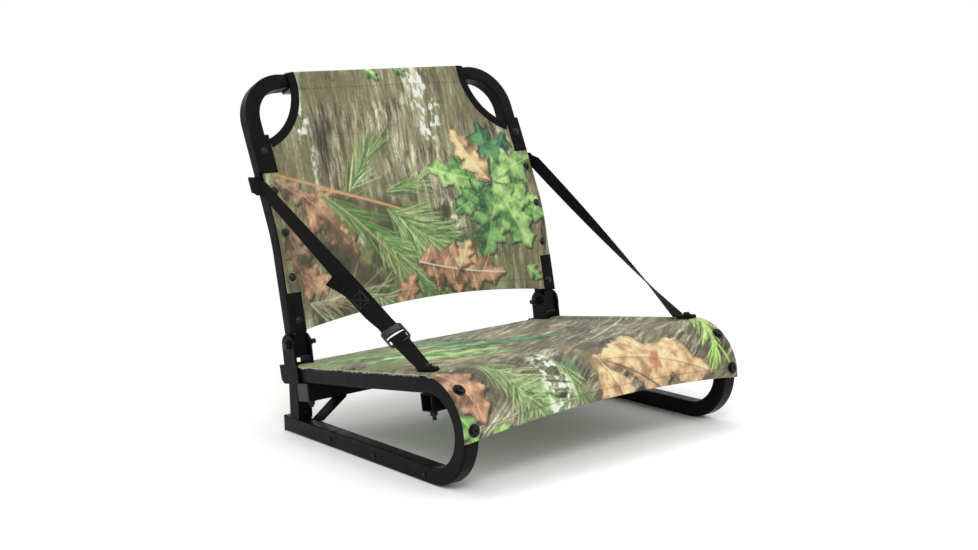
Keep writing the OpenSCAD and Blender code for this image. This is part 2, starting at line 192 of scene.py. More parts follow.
def vary(tree, shader, socket, noise, low, high):
    """The shader's socket wanders from low to high with the noise."""
    link(tree, ramp(tree, noise, low, high), shader.inputs[socket])


def bump(tree, shader, height, strength, distance, rounded=0.0):
    n = tree.nodes.new("ShaderNodeBump")
    n.inputs["Strength"].default_value = strength
    n.inputs["Distance"].default_value = distance
    link(tree, height, n.inputs["Height"])
    if rounded:
        edge = tree.nodes.new("ShaderNodeBevel")
        edge.samples = 4
        edge.inputs["Radius"].default_value = rounded
        link(tree, edge.outputs[0], n.inputs["Normal"])
    link(tree, n.outputs[0], shader.inputs["Normal"])


def wave(tree, axis, pitch):
    """A sine along one axis of the cloth, one turn per pitch in millimetres."""
    return math_node(tree, "SINE", math_node(tree, "MULTIPLY", axis, 2 * math.pi / pitch))


def cloth_axes(tree):
    """The fabric's own two directions, in millimetres."""
    uv = tree.nodes.new("ShaderNodeUVMap")
    uv.uv_map = "cloth"
    split = tree.nodes.new("ShaderNodeSeparateXYZ")
    link(tree, uv.outputs[0], split.inputs[0])
    return split.outputs[0], split.outputs[1]


# -------- materials
def powder_coat(name, rounded):
    m, tree, p = material(name, srgb(12, 12, 13), 0.4)
    vary(tree, p, "Base Color", noise_node(tree, 14, 4), srgb(7, 7, 8), srgb(14, 14, 15))
    p.inputs["Specular IOR Level"].default_value = 0.07
    vary(tree, p, "Roughness", noise_node(tree, 60, 5), 0.3, 0.46)
    bump(tree, p, noise_node(tree, 1100, 2), 0.25, 0.00012, rounded)
    return m


def zinc(name="black_zinc"):
    m, tree, p = material(name, srgb(40, 40, 42), 0.34, metallic=0.7)
    vary(tree, p, "Base Color", noise_node(tree, 220, 4), srgb(14, 14, 15), srgb(40, 40, 42))
    vary(tree, p, "Roughness", noise_node(tree, 400, 4), 0.26, 0.44)
    bump(tree, p, noise_node(tree, 1500, 2), 0.15, 0.0001, 0.0004)
    return m


def plastic(name, low, high, rough=0.42):
    m, tree, p = material(name, low, rough)
    vary(tree, p, "Base Color", noise_node(tree, 90, 4), low, high)
    vary(tree, p, "Roughness", noise_node(tree, 300, 4), rough - 0.08, rough + 0.08)
    bump(tree, p, noise_node(tree, 1800, 2), 0.2, 0.0001, 0.0005)
    return m


def webbing(name="webbing"):
    """Ribbed narrow weave: cross ribs along the strap, with two finer columns of yarn."""
    m, tree, p = material(name, srgb(12, 12, 13), 0.7)
    p.inputs["Specular IOR Level"].default_value = 0.08
    across, along = cloth_axes(tree)
    ribs = wave(tree, along, 1.5)
    yarns = wave(tree, across, 2.1)
    height = math_node(tree, "ADD", ribs, math_node(tree, "MULTIPLY", yarns, 0.6))
    fuzz = noise_node(tree, 260, 5)
    vary(tree, p, "Base Color", fuzz, srgb(6, 6, 7), srgb(19, 19, 20))
    vary(tree, p, "Roughness", fuzz, 0.6, 0.85)
    bump(tree, p, height, 0.5, 0.00025)
    return m


def printed_cloth(name="printed_cloth"):
    """Woven polyester: the print under a fine plain weave, with painted shade that darkens the hollows
    between the yarns and lightens the raised yarns.
    """
    m, tree, p = material(name, (0.2, 0.2, 0.15), 0.8, sheen=0.08)
    print_colour = tree.nodes.new("ShaderNodeAttribute")
    print_colour.attribute_name = "print"
    across, along = cloth_axes(tree)
    warp = wave(tree, across, 1.1)
    weft = wave(tree, along, 1.1)
    weave = math_node(tree, "MULTIPLY", warp, weft)
    # painted shade of the weave: the print's colour darkened in the hollows between yarns and lightened on
    # the raised yarns
    weave_painted_shade = math_node(tree, "ADD", math_node(tree, "MULTIPLY", weave, 0.07), 0.97)
    grain = math_node(tree, "ADD", math_node(tree, "MULTIPLY", noise_node(tree, 700, 3), 0.3), 0.85)
    mix = tree.nodes.new("ShaderNodeVectorMath")
    mix.operation = "SCALE"
    link(tree, print_colour.outputs["Color"], mix.inputs[0])
    link(tree, math_node(tree, "MULTIPLY", weave_painted_shade, grain), mix.inputs["Scale"])
    link(tree, mix.outputs[0], p.inputs["Base Color"])
    vary(tree, p, "Roughness", noise_node(tree, 120, 4), 0.7, 0.88)
    bump(tree, p, weave, 0.35, 0.0002)
    return m


def thread(name, low, high):
    m, tree, p = material(name, low, 0.7, sheen=0.2)
    vary(tree, p, "Base Color", noise_node(tree, 500, 4), low, high)
    bump(tree, p, noise_node(tree, 2500, 2), 0.3, 0.0001)
    return m


POWDER = powder_coat("powder_coat", 0.0)
POWDER_CAD = powder_coat("powder_coat_formed", 0.0012)
ZINC = zinc()
ACETAL = plastic("black_acetal", srgb(10, 10, 11), srgb(20, 20, 21))
PLUG = plastic("end_plug", srgb(14, 14, 15), srgb(24, 24, 25), 0.5)
NYLON = plastic("nylon", srgb(196, 194, 186), srgb(214, 212, 206), 0.45)
WEBBING = webbing()
PRINTED = printed_cloth()
BLACK_THREAD = thread("black_thread", srgb(14, 14, 14), srgb(40, 40, 40))
PALE_THREAD = thread("frayed_thread", srgb(196, 192, 182), srgb(246, 245, 240))


def finish_cad_nodes():
    """Better materials for the CAD nodes that stay in view."""
    chosen = {"powder_coat": POWDER_CAD, "black_zinc": ZINC, "black_plastic": PLUG, "nylon": NYLON}
    for part in frame["record"]["subparts"]:
        new = chosen.get(part["material_slot"])
        if new:
            for slot in NODES[part["node"]].material_slots:
                slot.material = new


finish_cad_nodes()


# -------- mesh helpers
def lengths(line):
    """Distance along a line to each of its points."""
    return np.concatenate([[0], np.cumsum(np.linalg.norm(np.diff(line, axis=0), axis=1))])


def at_length(line, run, d):
    """The point at distance d along a line whose lengths are run."""
    return np.array([np.interp(d, run, column) for column in line.T])


def make_piece(name, points, faces, mat, uv=None, soft=False):
    mesh = bpy.data.meshes.new(name)
    mesh.from_pydata([tuple(p) for p in row_frame(points)], [], [tuple(f) for f in faces])
    mesh.update()
    if uv is not None:
        layer = mesh.uv_layers.new(name="cloth")
        corner = np.empty(len(mesh.loops), int)
        mesh.loops.foreach_get("vertex_index", corner)
        layer.data.foreach_set("uv", np.asarray(uv, float)[corner].ravel())
    mesh.materials.append(mat)
    mesh.polygons.foreach_set("use_smooth", [True] * len(mesh.polygons))
    obj = bpy.data.objects.new(name, mesh)
    bpy.context.scene.collection.objects.link(obj)
    if not soft:
        weighted = obj.modifiers.new("even shading", "WEIGHTED_NORMAL")
        weighted.keep_sharp = True
    return obj


def rounded_section(w, h, r, steps=4):
    """Closed outline of a w by h rectangle with corners of radius r."""
    out = []
    for cx, cy, start in ((1, 1, 0), (-1, 1, 90), (-1, -1, 180), (1, -1, 270)):
        for k in range(steps + 1):
            a = math.radians(start + 90 * k / steps)
            out.append((cx * (w / 2 - r) + r * math.cos(a), cy * (h / 2 - r) + r * math.sin(a)))
    return np.array(out)


def sweep(name, stations, section, mat, closed=False):
    """A section carried along stations, each (centre, axis for section x, axis for section y)."""
    n, k = len(section), len(stations)
    points, uv, along, last = [], [], 0.0, None
    around = lengths(section)
    for centre, ax, ay in stations:
        centre = np.array(centre, float)
        along += 0 if last is None else float(np.linalg.norm(centre - last))
        last = centre
        for j, (a, b) in enumerate(section):
            points.append(centre + a * np.array(ax) + b * np.array(ay))
            uv.append((around[j], along))
    faces = []
    for i in range(k if closed else k - 1):
        for j in range(n):
            a, b = i * n + j, i * n + (j + 1) % n
            c, d = ((i + 1) % k) * n + (j + 1) % n, ((i + 1) % k) * n + j
            faces.append((a, b, c, d))
    if not closed:
        faces += [tuple(range(n - 1, -1, -1)), tuple(range((k - 1) * n, k * n))]
    return make_piece(name, points, outward(points, faces), mat, uv)


def outward(points, faces):
    """The same faces, all turned over if they enclose a negative volume."""
    p = np.array(points)
    volume = sum(float(np.dot(p[f[0]], np.cross(p[f[i]], p[f[i + 1]])))
                 for f in faces for i in range(1, len(f) - 1))
    return faces if volume >= 0 else [tuple(reversed(f)) for f in faces]


SIDES = (("right", -1), ("left", 1))


def hand(side):
    return "right" if side < 0 else "left"


def place(obj, body, slot, *replaced):
    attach(obj, body)
    if replaced:
        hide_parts(*replaced)
    return obj


# -------- steel tubes
TUBE_SECTION = rounded_section(TUBE, TUBE, 3.4)


def side_frame_stations(side):
    x = side * SIDE_X
    out = [((x, RUNNER_L, TUBE / 2), (1, 0, 0), (0, 0, -1)), ((x, 0, TUBE / 2), (1, 0, 0), (0, 0, -1))]
    turn = math.pi + SLOPE
    for k in range(1, 49):
        a = -math.pi / 2 + turn * k / 48
        y, z = -math.cos(a), math.sin(a)
        out.append(((x, MID_R * y, BEND_R + MID_R * z), (1, 0, 0), (0, y, z)))
    y, z = rail(RAIL_L, MID_R)
    out.append(((x, y, z), (1, 0, 0), (0, math.sin(SLOPE), math.cos(SLOPE))))
    return out


def back_axis(s):
    (y0, z0), (y1, z1) = back(s, 0), back(s, 1)
    return (0, y1 - y0, z1 - z0)


def up_axis(s):
    """Direction up the back frame's centre line at s."""
    return np.array([0, *(np.array(back(s + 1, 0)) - back(s, 0))])


def back_frame_stations():
    right = [((-SIDE_X, *back(s, 0)), (1, 0, 0), back_axis(s))
             for s in [-20, BEND_START] + [BEND_START + BEND_LEN * k / 10 for k in range(1, 11)]]
    corner, top_s = OUT_X - BEND_R, UP + HIGH_L - BEND_R
    for k in range(0, 17):
        a = math.pi / 2 * k / 16
        s = top_s + MID_R * math.sin(a)
        y, z = back(s, 0)
        phi = LEAN_HIGH
        inward = (math.cos(a), -math.sin(a) * math.sin(phi), -math.sin(a) * math.cos(phi))
        right.append(((-corner - MID_R * math.cos(a), y, z), inward, back_axis(s)))
    left = [((-c[0], c[1], c[2]), (ax[0], -ax[1], -ax[2]), ay) for c, ax, ay in reversed(right)]
    return right + left


for label, side in SIDES:
    tube = sweep(f"side_tube_{label}", side_frame_stations(side), TUBE_SECTION, POWDER)
    place(tube, "seat_frame", "powder_coat", f"side_frame_{label}")
back_tube = sweep("back_tube", back_frame_stations(), TUBE_SECTION, POWDER)
place(back_tube, "backrest", "powder_coat", "back_frame")


# -------- printed pattern
def value_noise(x, y, seed):
    grid = np.random.RandomState(seed).rand(128, 128)
    xi, yi = np.floor(x).astype(int), np.floor(y).astype(int)
    fx, fy = smooth(x - xi), smooth(y - yi)
    a, b = grid[xi % 128, yi % 128], grid[(xi + 1) % 128, yi % 128]
    c, d = grid[xi % 128, (yi + 1) % 128], grid[(xi + 1) % 128, (yi + 1) % 128]
    return (a * (1 - fx) + b * fx) * (1 - fy) + (c * (1 - fx) + d * fx) * fy


def fractal(x, y, seed, octaves=4):
    total = 0
    for k in range(octaves):
        total = total + 0.5 ** k * value_noise(x * 2 ** k + 31 * k, y * 2 ** k + 17 * k, seed + k)
    return total / (2 - 0.5 ** (octaves - 1))


GREYING = 0.2  # share of grey mixed into the print's colours
INK_GAIN = (1.62, 1.76, 1.62)  # how much brighter red, green and blue are printed
PALEST = 0.68  # brightest colour the ink reaches


class Print:
    """Colours painted on points at x across and s along the cloth, in millimetres."""

    def __init__(self, x, s, seed):
        self.x, self.s, self.seed = x.ravel(), s.ravel(), seed
        self.colour = np.zeros((self.x.size, 3))

    def lay(self, mask, colour):
        self.colour += mask[:, None] * (np.asarray(colour) - self.colour)

    def along(self, angle):
        """Coordinates across and along a grain that lies at angle from the x axis."""
        c, s = math.cos(math.radians(angle)), math.sin(math.radians(angle))
        return -self.x * s + self.s * c, self.x * c + self.s * s

    def bark(self, angle, tones, seed, grain=9.0, length=75.0):
        across, along = self.along(angle)
        warp = 10 * (fractal(self.x / 60, self.s / 60, seed + 50) - 0.5)
        n = fractal((across + warp) / grain, along / length, seed, 5)
        broad = fractal(across / 45, along / 140, seed + 9, 3)
        fine = fractal((across + warp) / 2.6, along / 24, seed + 33, 3)
        mixed = 0.42 * n + 0.26 * broad + 0.32 * fine
        level = np.clip((mixed - 0.33) / 0.34, 0, 1)[:, None] * (len(tones) - 1)
        low = np.minimum(level.astype(int), len(tones) - 2)
        table = np.array(tones)
        self.colour = table[low[:, 0]] + (level - low) * (table[low[:, 0] + 1] - table[low[:, 0]])
        cracks = np.abs(fractal((across + warp) / (grain * 1.2), along / (length * 0.6), seed + 21, 4) - 0.5)
        self.lay(0.75 * (1 - smooth(cracks / 0.025)), srgb(38, 31, 22))

    def cloud(self, colour, seed, size, cover, strength, box=None, stretch=1.0):
        n = fractal(self.x / size, self.s / (size * stretch), seed, 4)
        mask = smooth((n - (1 - cover)) / 0.12) * strength
        if box:
            mask = mask * self.inside(*box)
        self.lay(mask, colour)

    def speckled(self):
        """The finished colours, a little greyer and brighter, with the ink's fine light and dark flecks."""
        grey = self.colour.mean(1, keepdims=True)
        printed = (self.colour + GREYING * (grey - self.colour)) * INK_GAIN
        flecks = 0.76 + 0.48 * fractal(self.x / 3.2, self.s / 4.5, self.seed + 90, 3)
        return np.minimum(printed * flecks[:, None], PALEST)

    def inside(self, cx, cs, rx, rs, edge=0.5):
        d = np.hypot((self.x - cx) / rx, (self.s - cs) / rs)
        wobble = 0.5 * (fractal(self.x / 22, self.s / 22, self.seed + 70, 3) - 0.5)
        return 1 - smooth((d + wobble - 1 + edge / 2) / edge)

    def local(self, start, end):
        d = np.array(end, float) - start
        size = float(np.hypot(*d))
        u = d / size
        px, ps = self.x - start[0], self.s - start[1]
        return (px * u[0] + ps * u[1]) / size, (-px * u[1] + ps * u[0]) / size, size

    def leaf(self, start, end, width, tones, lobes=3.5, bend=0.0, seed=1, vein=None, fat=0.55):
        """Lobed leaf from its stalk to its tip, over a soft shadow."""
        for shadow in (True, False):
            shift = (3.0, -4.0) if shadow else (0.0, 0.0)
            a, b, size = self.local((start[0] + shift[0], start[1] + shift[1]),
                                    (end[0] + shift[0], end[1] + shift[1]))
            near = (a > -0.05) & (a < 1.05) & (np.abs(b) < width + 0.3)
            a, b = a[near], b[near] - bend * a[near] * (1 - a[near])
            x, s = self.x[near], self.s[near]
            ragged = fractal(x / 7, s / 7, seed + 3, 3) - 0.5
            t = a * lobes - np.abs(b) * 1.7 + 0.2 * np.sign(b) + 0.15 * ragged
            tooth = 1 - np.abs(2 * (t % 1) - 1)
            taper = np.sin(np.pi * np.clip(a, 0, 1) ** 0.8) ** 0.7
            half = width * taper * ((1 - fat) + fat * tooth) * (1 + 0.5 * ragged)
            mask = smooth((half - np.abs(b)) * size / 2.2 + 0.5) * ((a > 0) & (a < 1))
            full = np.zeros(self.x.size)
            if shadow:
                full[near] = 0.75 * mask
                self.lay(full, srgb(30, 27, 18))
                continue
            blend = np.clip(2.2 * (fractal(x / 16, s / 16, seed, 3) - 0.5) + 0.55 + 0.22 * np.sign(b), 0, 1)
            tint = np.array(tones[0]) + blend[:, None] * (np.array(tones[1]) - np.array(tones[0]))
            rib = np.exp(-(b * size / 0.8) ** 2) + 0.4 * np.exp(-(((t % 1) - 0.5) * size / lobes / 0.7) ** 2)
            rib = np.clip(rib, 0, 1) * 0.75
            light = np.array(vein if vein is not None else tones[1]) * 1.15
            tint += rib[:, None] * (light - tint)
            tint *= (0.5 + 0.5 * smooth((half - np.abs(b)) * size / 9))[:, None]
            tint *= (0.85 + 0.3 * fractal(x / 4, s / 4, seed + 8, 3))[:, None]
            full[near] = mask
            whole = np.zeros((self.x.size, 3))
            whole[near] = tint
            self.colour += full[:, None] * (whole - self.colour)

    def stroke(self, start, end, width, colour, bend=0.0, strength=1.0):
        a, b, size = self.local(start, end)
        near = (a > -0.02) & (a < 1.02) & (np.abs(b) < abs(bend) / 2 + 3 * width / size + 0.02)
        b = b - bend * a * (1 - a)
        mask = np.zeros(self.x.size)
        mask[near] = strength * np.exp(-((b[near] * size) / width) ** 2) * np.clip(a[near] * 20, 0, 1) \
            * np.clip((1 - a[near]) * 6, 0, 1)
        self.lay(mask, colour)

    def needles(self, start, end, fan, length, count, tones, seed, width=1.0):
        """Pine needles that leave a twig on both sides."""
        rng = np.random.RandomState(seed)
        axis = math.atan2(end[1] - start[1], end[0] - start[0])
        for _ in range(count):
            f = rng.rand()
            root = (start[0] + f * (end[0] - start[0]), start[1] + f * (end[1] - start[1]))
            a = axis + math.radians(rng.uniform(-fan, fan))
            long = length * rng.uniform(0.55, 1.1)
            tip = (root[0] + long * math.cos(a), root[1] + long * math.sin(a))
            tone = tones[rng.randint(len(tones))]
            self.stroke(root, tip, width * rng.uniform(0.8, 1.3), np.array(tone) * rng.uniform(0.7, 1.25),
                        bend=rng.uniform(-0.12, 0.12), strength=0.85)


GREEN = [(srgb(32, 72, 34), srgb(104, 145, 74)), (srgb(52, 100, 38), srgb(140, 169, 92)),
         (srgb(17, 57, 44), srgb(65, 117, 72))]
TAN = (srgb(128, 92, 56), srgb(196, 156, 108))
RUST = (srgb(92, 58, 38), srgb(176, 124, 88))
BROWN = (srgb(72, 52, 38), srgb(142, 106, 78))
PINE = [srgb(62, 92, 40), srgb(92, 122, 58), srgb(126, 144, 82), srgb(46, 78, 40), srgb(150, 156, 104)]
BARK = [srgb(34, 29, 20), srgb(66, 58, 42), srgb(98, 88, 66), srgb(132, 122, 96), srgb(166, 158, 134)]

def back_print(x, s):
    p = Print(x, s, 5)
    p.bark(86, BARK, 11)
    p.cloud(srgb(96, 90, 54), 31, 70, 0.62, 0.55)
    p.cloud(srgb(44, 42, 24), 33, 34, 0.45, 0.6, box=(-40, 120, 230, 110))
    p.cloud(srgb(92, 108, 50), 37, 26, 0.52, 0.6, box=(-30, 90, 220, 90))
    p.cloud(srgb(178, 188, 166), 41, 9, 0.5, 0.85, box=(-182, 370, 13, 120, 0.9), stretch=1.8)
    p.cloud(srgb(188, 196, 178), 43, 8, 0.5, 0.9, box=(76, 380, 26, 80, 0.9), stretch=1.5)
    p.cloud(srgb(172, 180, 156), 45, 8, 0.47, 0.75, box=(72, 150, 22, 60, 0.9))
    p.cloud(srgb(58, 46, 34), 47, 20, 0.5, 0.5, box=(150, 400, 60, 70), stretch=3)
    p.leaf((-30, 452), (-8, 424), 0.4, GREEN[1], 2.5, seed=4)
    p.leaf((30, 450), (52, 430), 0.4, GREEN[0], 2.5, seed=6)
    p.leaf((-262, 262), (-196, 214), 0.3, BROWN, 3.5, seed=61)
    p.leaf((-214, 232), (-136, 122), 0.36, RUST, 3.5, 0.15, seed=62)
    p.leaf((-262, 178), (-236, 96), 0.32, BROWN, 3.0, seed=63)
    p.leaf((-250, 112), (-172, 44), 0.34, RUST, 3.5, seed=64)
    p.cloud(srgb(40, 44, 22), 51, 30, 0.62, 0.75, box=(-70, 120, 190, 110))
    p.cloud(srgb(70, 52, 36), 53, 22, 0.5, 0.7, box=(-200, 90, 90, 100))
    p.needles((-150, 70), (-60, 40), 60, 80, 70, BARK[2:] + PINE[:2], 76, 0.9)
    p.needles((-240, 60), (-150, 60), 70, 60, 60, BARK[2:], 77, 0.9)
    p.needles((-140, 214), (-60, 300), 34, 78, 60, PINE, 71, 0.8)
    p.needles((-60, 222), (20, 236), 30, 70, 46, PINE, 72, 0.8)
    p.needles((-186, 230), (-30, 116), 26, 86, 120, PINE[:2] + [srgb(60, 86, 40)], 73, 1.1)
    p.needles((-60, 196), (30, 130), 46, 92, 330, PINE, 74, 0.9)
    p.needles((-90, 160), (0, 60), 40, 70, 150, PINE, 75, 0.9)
    p.stroke((-262, 272), (-20, 188), 2.4, srgb(150, 112, 74), 0.02)
    p.stroke((-190, 243), (-12, 186), 1.4, srgb(178, 106, 66), 0.05)
    p.stroke((-186, 236), (-6, 44), 3.2, srgb(92, 96, 52), 0.12)
    p.stroke((-186, 238), (-6, 46), 1.0, srgb(140, 138, 86), 0.12)
    p.leaf((178, 220), (182, 336), 0.36, GREEN[2], 3.5, -0.1, 81)
    p.leaf((178, 220), (238, 312), 0.34, GREEN[2], 3.5, 0.1, 82)
    p.leaf((180, 222), (284, 262), 0.40, GREEN[1], 3.5, 0.1, 83)
    p.leaf((178, 220), (282, 150), 0.34, GREEN[1], 3.5, -0.1, 84)
    p.leaf((176, 224), (46, 262), 0.30, GREEN[1], 3.5, 0.1, 85)
    p.leaf((178, 220), (80, 178), 0.34, GREEN[0], 3.5, 0.1, 86)
    p.leaf((180, 218), (128, 92), 0.38, GREEN[0], 4.0, 0.1, 87)
    p.leaf((182, 218), (240, 98), 0.36, GREEN[1], 4.0, -0.1, 88)
    p.leaf((176, 224), (116, 328), 0.27, TAN, 4.0, 0.05, 89)
    p.stroke((150, 232), (206, 214), 2.0, srgb(92, 58, 62))
    p.leaf((-60, 26), (-22, 84), 0.36, RUST, 3.0, seed=91)
    p.leaf((-12, 102), (172, 62), 0.27, RUST, 4.5, -0.1, 92, vein=srgb(236, 214, 190))
    p.leaf((70, 78), (104, 128), 0.36, TAN, 3.0, seed=93)
    p.leaf((222, 66), (250, 40), 0.4, GREEN[1], 2.5, seed=94)
    p.cloud(srgb(24, 26, 14), 49, 18, 0.3, 0.35)
    return p.speckled()


def seat_print(x, s):
    p = Print(x, s, 8)
    p.bark(32, BARK, 111, 8, 60)
    p.cloud(srgb(92, 84, 56), 131, 60, 0.6, 0.5)
    p.cloud(srgb(96, 112, 54), 133, 30, 0.7, 0.75, box=(-180, 250, 170, 150), stretch=0.6)
    p.cloud(srgb(38, 34, 20), 135, 22, 0.5, 0.6, box=(-90, -40, 190, 90))
    p.cloud(srgb(52, 42, 32), 137, 26, 0.45, 0.5, box=(190, 60, 120, 120), stretch=2)
    for k, (start, end) in enumerate((((-250, 300), (-120, 250)), ((-200, 220), (-40, 200)),
                                      ((-80, 330), (40, 250)), ((-60, 240), (60, 170)),
                                      ((-180, 150), (-20, 130)), ((0, 200), (110, 130)))):
        p.leaf(start, end, 0.3, GREEN[k % 3], 3.5, 0.1, 140 + k)
    p.leaf((-240, 120), (-70, 30), 0.18, RUST, 4, 0.1, 151)
    p.leaf((-120, 300), (-30, 280), 0.24, TAN, 3, 0.1, 152)
    p.needles((-230, 40), (-60, 90), 34, 80, 90, PINE, 161, 1.0)
    p.needles((-200, -10), (-120, -120), 50, 74, 150, PINE, 162, 0.9)
    p.needles((-180, -60), (-130, -130), 70, 60, 70, PINE, 163, 0.9)
    p.cloud(srgb(60, 104, 56), 165, 12, 0.5, 0.7, box=(-70, -70, 26, 50))
    p.needles((-76, -40), (-60, -110), 30, 50, 50, PINE, 164, 0.9)
    p.cloud(srgb(188, 196, 176), 167, 9, 0.54, 0.9, box=(-94, -90, 24, 78, 0.9), stretch=1.4)
    p.stroke((-116, -76), (-66, -88), 1.6, srgb(40, 36, 28))
    p.cloud(srgb(184, 190, 170), 169, 8, 0.5, 0.8, box=(4, -118, 16, 26, 0.9))
    p.stroke((-46, -36), (63, 22), 2.0, srgb(150, 104, 66), 0.03)
    p.stroke((63, 22), (299, 178), 1.8, srgb(168, 164, 140), -0.02)
    p.leaf((-2, -50), (40, -150), 0.40, TAN, 2.2, -0.2, 171, vein=srgb(70, 44, 34), fat=0.5)
    p.leaf((6, -62), (222, -122), 0.30, TAN, 2.3, 0.2, 172, vein=srgb(84, 52, 40), fat=0.62)
    p.cloud(srgb(140, 66, 48), 173, 14, 0.5, 0.75, box=(132, -84, 40, 16))
    p.stroke((12, -66), (116, -136), 1.3, srgb(62, 40, 32), 0.12)
    p.leaf((-276, -22), (-242, -116), 0.42, RUST, 3.2, 0.15, 181, fat=0.4)
    p.needles((278, 30), (246, -86), 38, 62, 34, [srgb(150, 188, 74), srgb(120, 166, 60)], 183, 1.1)
    p.leaf((-282, -100), (-258, -146), 0.4, GREEN[1], 2.5, seed=185)
    p.leaf((-232, -140), (-196, -126), 0.42, GREEN[1], 2.5, seed=187)
    return p.speckled()


def cloth_grid(name, points, keep, x, s, colour):
    """A cloth from a grid of points; keep says which cells have cloth."""
    rows, cols = x.shape
    index = np.arange(rows * cols).reshape(rows, cols)
    quads = np.stack([index[:-1, :-1], index[:-1, 1:], index[1:, 1:], index[1:, :-1]], -1)[keep]
    used, flat = np.unique(quads, return_inverse=True)
    quads = flat.reshape(-1, 4)
    obj = make_piece(name, points.reshape(-1, 3)[used], quads.tolist(), PRINTED,
                     np.stack([x.ravel(), s.ravel()], 1)[used], soft=True)
    layer = obj.data.color_attributes.new("print", "FLOAT_COLOR", "POINT")
    rgba = np.concatenate([np.clip(colour[used], 0, 1), np.ones((len(used), 1))], 1)
    layer.data.foreach_set("color", rgba.ravel())
    thick = obj.modifiers.new("cloth", "SOLIDIFY")
    thick.thickness, thick.offset = CLOTH / 1000, 0
    return obj


# -------- seat fabric
SEAT_R = BEND_R + 1.5
SEAT_ARC = 90 + math.degrees(SLOPE)
SEAT_INNER = 246.6  # half width of the cloth between the rails' hems
SEAT_SIDE_END, SEAT_END = 330, 368  # where the cloth ends on the rails and between them
ARCH_Z, ARCH_R = 91.5, 2501.0  # front edge's middle height and its arch


def seat_point(x, v, off):
    """Point x across and v along the seat (0 where the bends start), off above the tubes."""
    o = BEND_R + off
    if v >= 0:
        return (x, *rail(v, o))
    a = math.radians(SEAT_ARC + math.degrees(v / SEAT_R))
    return (x, -o * math.cos(a), BEND_R + o * math.sin(a))


def seat_front(x):
    """Arched lower edge of the seat's front, as a distance along the seat."""
    z = ARCH_Z - ARCH_R + np.sqrt(ARCH_R ** 2 - np.asarray(x, float) ** 2)
    a = np.degrees(np.arcsin((z - BEND_R) / (BEND_R + 2)))
    return -np.radians(SEAT_ARC - a) * SEAT_R


def seat_height(x, v):
    """How far the cloth's middle surface lies above the tubes' outer faces."""
    edge = np.abs(x)
    hem = 2.3 * smooth((edge - IN_X - 1) / 6)
    curl = -2.8 * smooth((edge - OUT_X + 2) / 4.5)
    slack = -3.5 * (1 - np.minimum(edge / IN_X, 1) ** 2) * smooth((v + 70) / 120) * smooth((380 - v) / 90)
    ripple = 1.3 * (fractal(x / 90, v / 38, 201, 3) - 0.5) * smooth((IN_X - edge) / 40)
    pull = 0.9 * np.sin(x / 13 + 0.6 * np.sin(v / 17)) * smooth((v + 160) / 60) * smooth((10 - v) / 60) \
        * smooth((edge - 150) / 90) * smooth((IN_X - edge) / 20)
    return 1.5 + hem + curl + slack + ripple + pull


def seat_cloth():
    inner = np.linspace(-SEAT_INNER, SEAT_INNER, int(2 * SEAT_INNER / CELL))
    outer = np.linspace(250, OUT_X + 2.5, 18)
    xs = np.concatenate([-outer[::-1], inner, outer])
    arc = np.linspace(0, 1, 90)
    flat = np.concatenate([np.linspace(0, SEAT_SIDE_END, 214)[1:],
                           np.linspace(SEAT_SIDE_END, SEAT_END, 24)[1:]])
    x = np.repeat(xs[None, :], len(arc) + len(flat), 0)
    v = np.concatenate([seat_front(xs)[None, :] * (1 - arc[:, None]), np.repeat(flat[:, None], len(xs), 1)])
    off = seat_height(x, v)
    points = np.array([[seat_point(a, b, c) for a, b, c in zip(*r)] for r in zip(x, v, off)])
    centre_v = (v[:-1, :-1] + v[1:, 1:]) / 2
    centre_x = np.abs(x[:-1, :-1] + x[1:, 1:]) / 2
    keep = (centre_v < SEAT_SIDE_END) | (centre_x < SEAT_INNER + 0.1)
    return cloth_grid("seat_cloth", points, keep, x, v, seat_print(x, v))


seat_sheet = place(seat_cloth(), "seat_frame", "camo_cloth", "seat_sling")


# -------- back fabric
TOP_S = UP + HIGH_L
STAND_OFF = 1.5  # cloth's middle surface off the tubes
BACK_OFF = FACE + STAND_OFF
SLEEVE_R = 3.6  # the sleeve's turn round the top tube's edges
HEM_Z, HEM_R = 187.0, 1682.0  # lower edge's middle height and its arch


def hem_start(x):
    """Arched lower edge of the back, as a distance up from the pin."""
    z = HEM_Z - HEM_R + np.sqrt(HEM_R ** 2 - np.asarray(x, float) ** 2)
    return (z - PIN_Z - BACK_OFF * math.sin(LEAN_LOW)) / math.cos(LEAN_LOW)


def half_width(s):
    """Half width of the back fabric at s, narrowed by the corner hand holes."""
    dz = np.clip(np.abs(s - UP - CUT_Z) / CUT_R, 0, 1)
    open_x = CUT_X - CUT_R * np.sqrt(1 - dz * dz)
    return np.where(s - UP > CUT_Z - CUT_R, np.minimum(OUT_X, open_x), OUT_X)


def sleeve_path():
    """y, s of the fabric's way over the top tube, down its back and under it to the front."""
    r, out = SLEEVE_R, []
    y0, y1, s0, s1 = -BACK_OFF, BACK_OFF, TOP_S - TUBE - STAND_OFF, TOP_S + STAND_OFF
    for cy, cs, start in ((y0 + r, s1 - r, 180), (y1 - r, s1 - r, 90), (y1 - r, s0 + r, 0)):
        out += [(cy + r * math.cos(math.radians(start - 90 * k / 5)),
                 cs + r * math.sin(math.radians(start - 90 * k / 5))) for k in range(6)]
    return out + [(0.0, s0), (y0 + 3.2, s0)]


def back_rows():
    cut = [UP + CUT_Z - CUT_R * math.cos(math.radians(a)) for a in np.linspace(0, 90, 60)]
    top = TOP_S + STAND_OFF - SLEEVE_R
    return np.unique(np.round(np.concatenate([np.arange(80, cut[0], CELL), cut,
                                              np.linspace(cut[-1], top, 10)]), 2))


